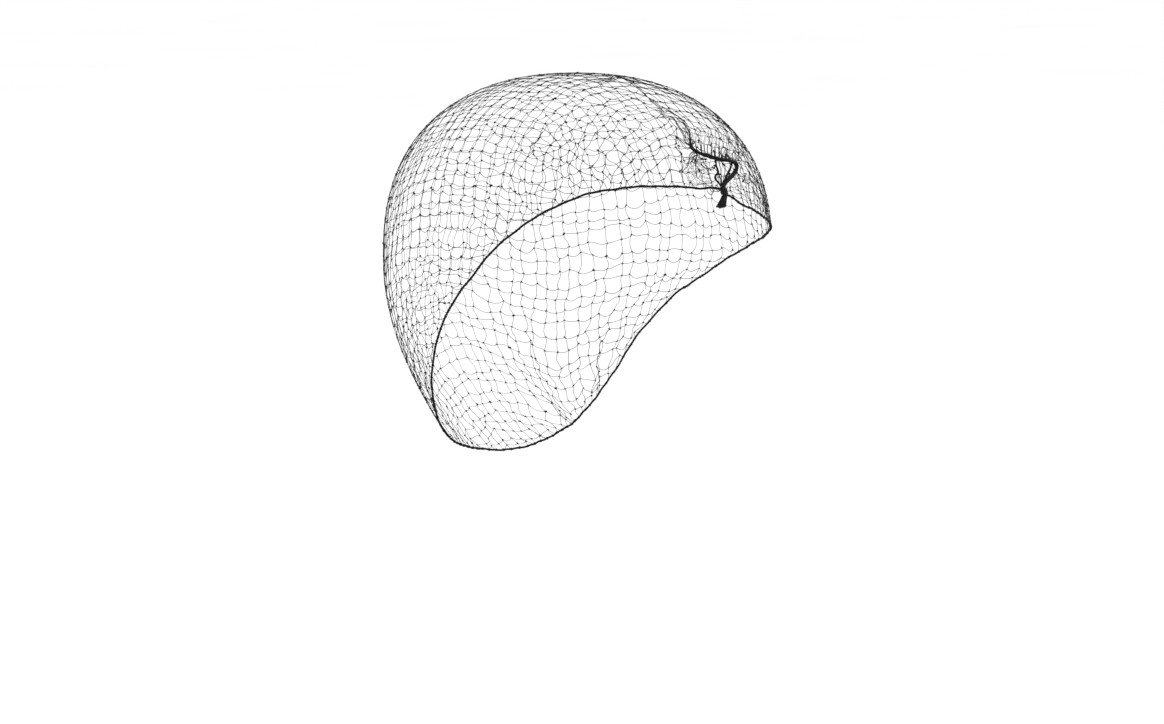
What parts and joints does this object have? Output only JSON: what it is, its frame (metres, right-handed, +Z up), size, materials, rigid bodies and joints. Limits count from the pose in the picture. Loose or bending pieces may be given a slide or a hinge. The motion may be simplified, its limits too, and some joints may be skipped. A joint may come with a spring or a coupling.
{
  "type": "hairnet",
  "caption": "Fine knotted hairnet kept at the form of a head: a slanted elastic edge, a pleated and bunched front, a tied knot and a short tuft of cut ends.",
  "frame": {"origin": "inside of the crown, where the net bears on the top of the head", "axes": "+Z up; the wearer faces -Y; +X is the wearer's left"},
  "size_m": [0.154, 0.1958, 0.1809],
  "materials": {
    "net_nylon": "black dyed nylon thread, satin",
    "covered_elastic": "black yarn wound over rubber, matt",
    "bunched_nylon": "black dyed nylon thread in a bunch, satin"
  },
  "bodies": {
    "root": {"net_crown": "net_nylon", "edge_elastic": "covered_elastic", "front_gather": "bunched_nylon", "front_knot": "bunched_nylon", "end_tuft": "bunched_nylon"}
  },
  "joints": []
}
